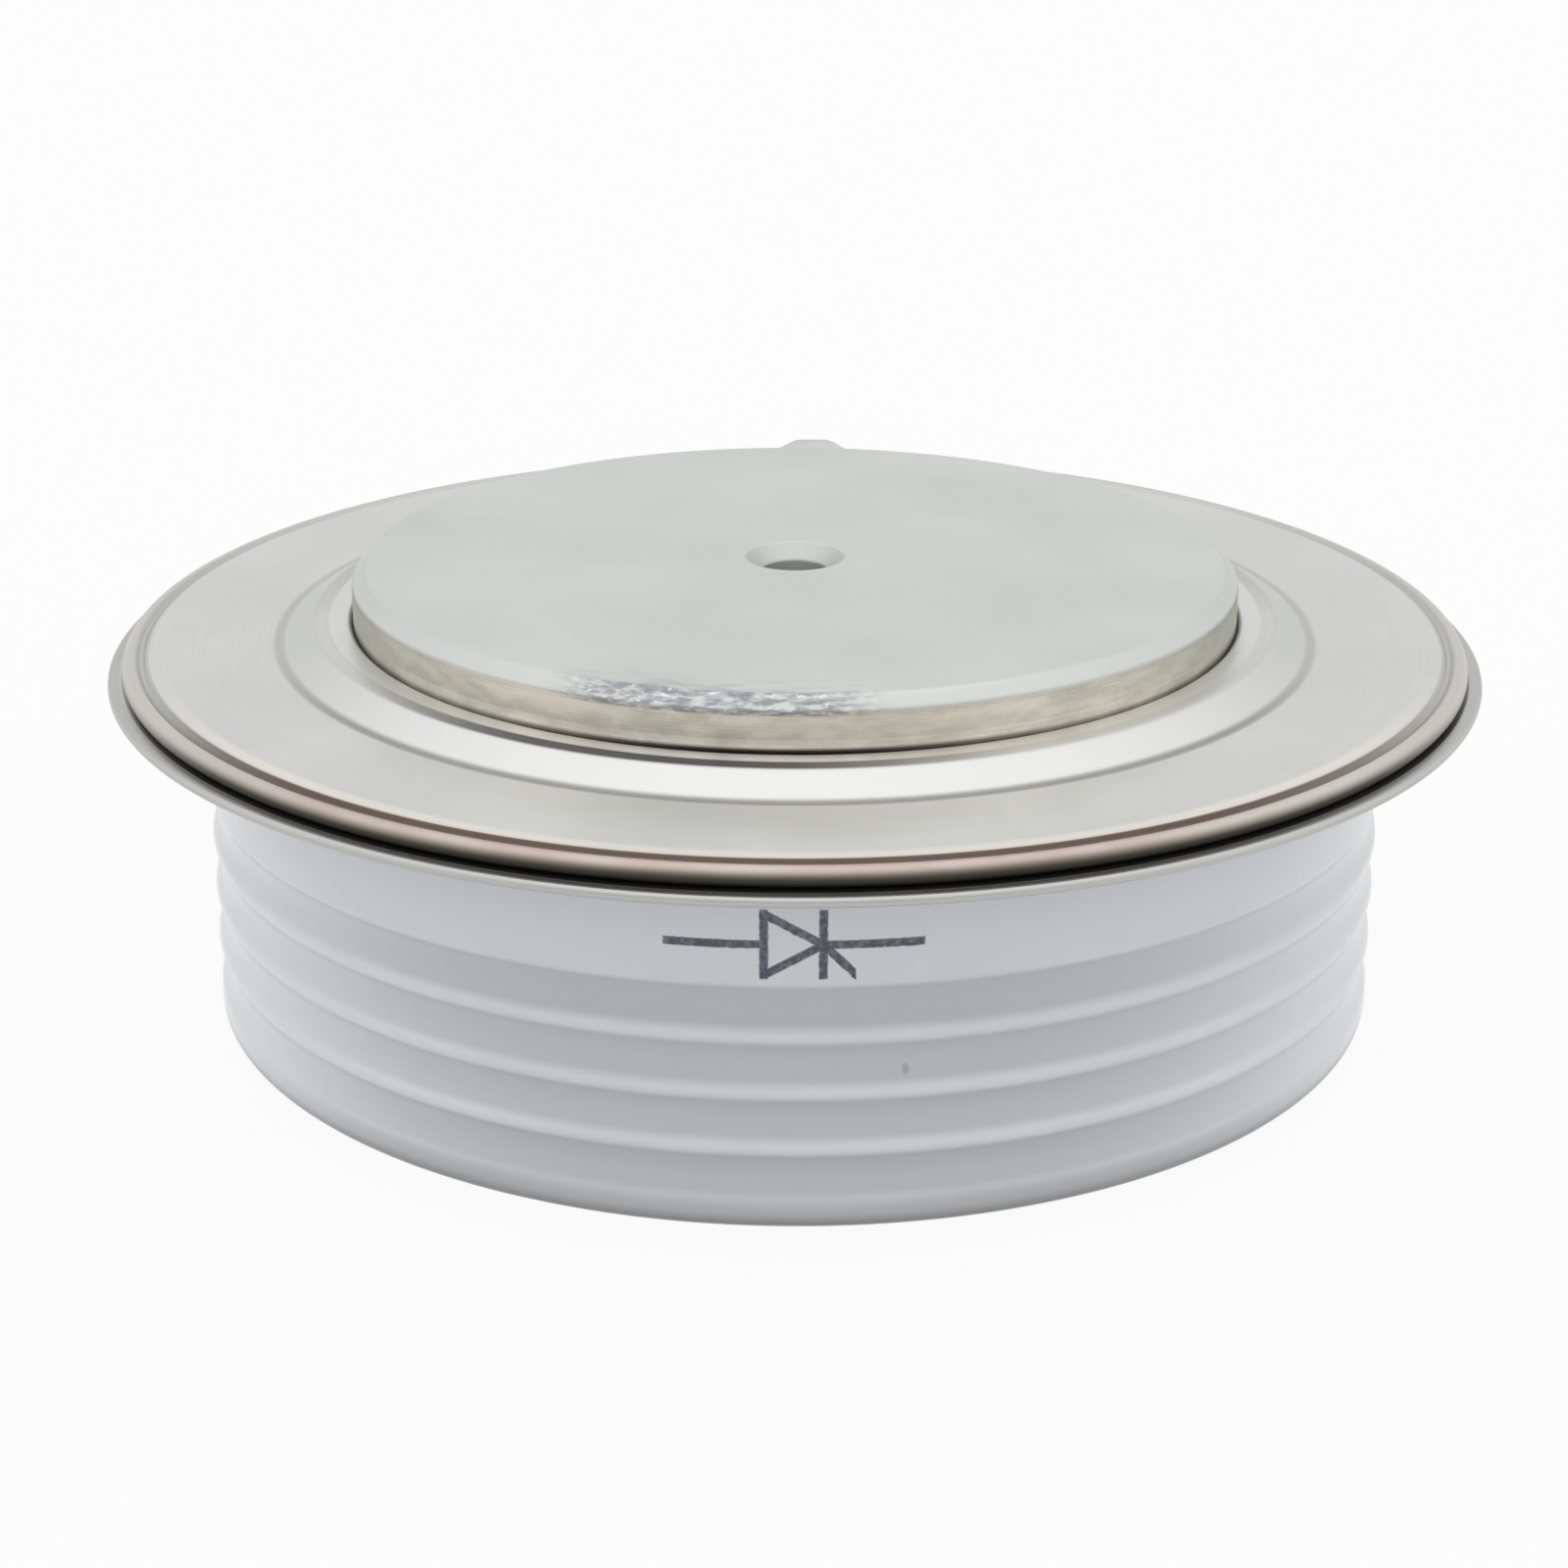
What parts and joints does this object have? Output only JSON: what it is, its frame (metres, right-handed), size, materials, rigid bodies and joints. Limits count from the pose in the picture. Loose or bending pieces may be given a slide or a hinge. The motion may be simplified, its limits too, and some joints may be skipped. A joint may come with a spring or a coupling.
{
  "type": "disc thyristor",
  "caption": "Flat round power thyristor capsule with a ribbed ceramic wall, a plated contact face on each side and blade terminals at the rear.",
  "frame": {"origin": "centre of the anode contact face", "axes": "+Z along the clamping axis to the cathode face, +Y to the rear, where the terminals are"},
  "size_m": [0.075, 0.0842, 0.026],
  "materials": {
    "nickel_copper": "matte nickel plate on copper",
    "nickel_sheet": "satin nickel plate on drawn sheet",
    "glazed_alumina": "glossy glaze",
    "molybdenum": "lapped",
    "silicon": null,
    "silicone_rubber": "soft",
    "fluoropolymer": "waxy",
    "spring_steel": "bright wire",
    "copper": null
  },
  "bodies": {
    "root": {"anode_pole": "nickel_copper", "cathode_pole": "nickel_copper", "anode_membrane": "nickel_sheet", "weld_ring": "nickel_sheet", "lid_flange": "nickel_sheet", "ceramic_housing": "glazed_alumina", "backing_disc": "molybdenum", "contact_washer": "molybdenum", "silicon_wafer": "silicon", "edge_seal": "silicone_rubber", "centring_ring": "fluoropolymer", "gate_cup": "fluoropolymer", "lead_sleeve": "fluoropolymer", "gate_pin": "nickel_sheet", "gate_spring": "spring_steel", "gate_lead": "copper", "gate_tube": "nickel_sheet", "tube_washer": "nickel_sheet", "gate_terminal": "nickel_sheet", "cathode_terminal": "nickel_sheet"}
  },
  "joints": []
}
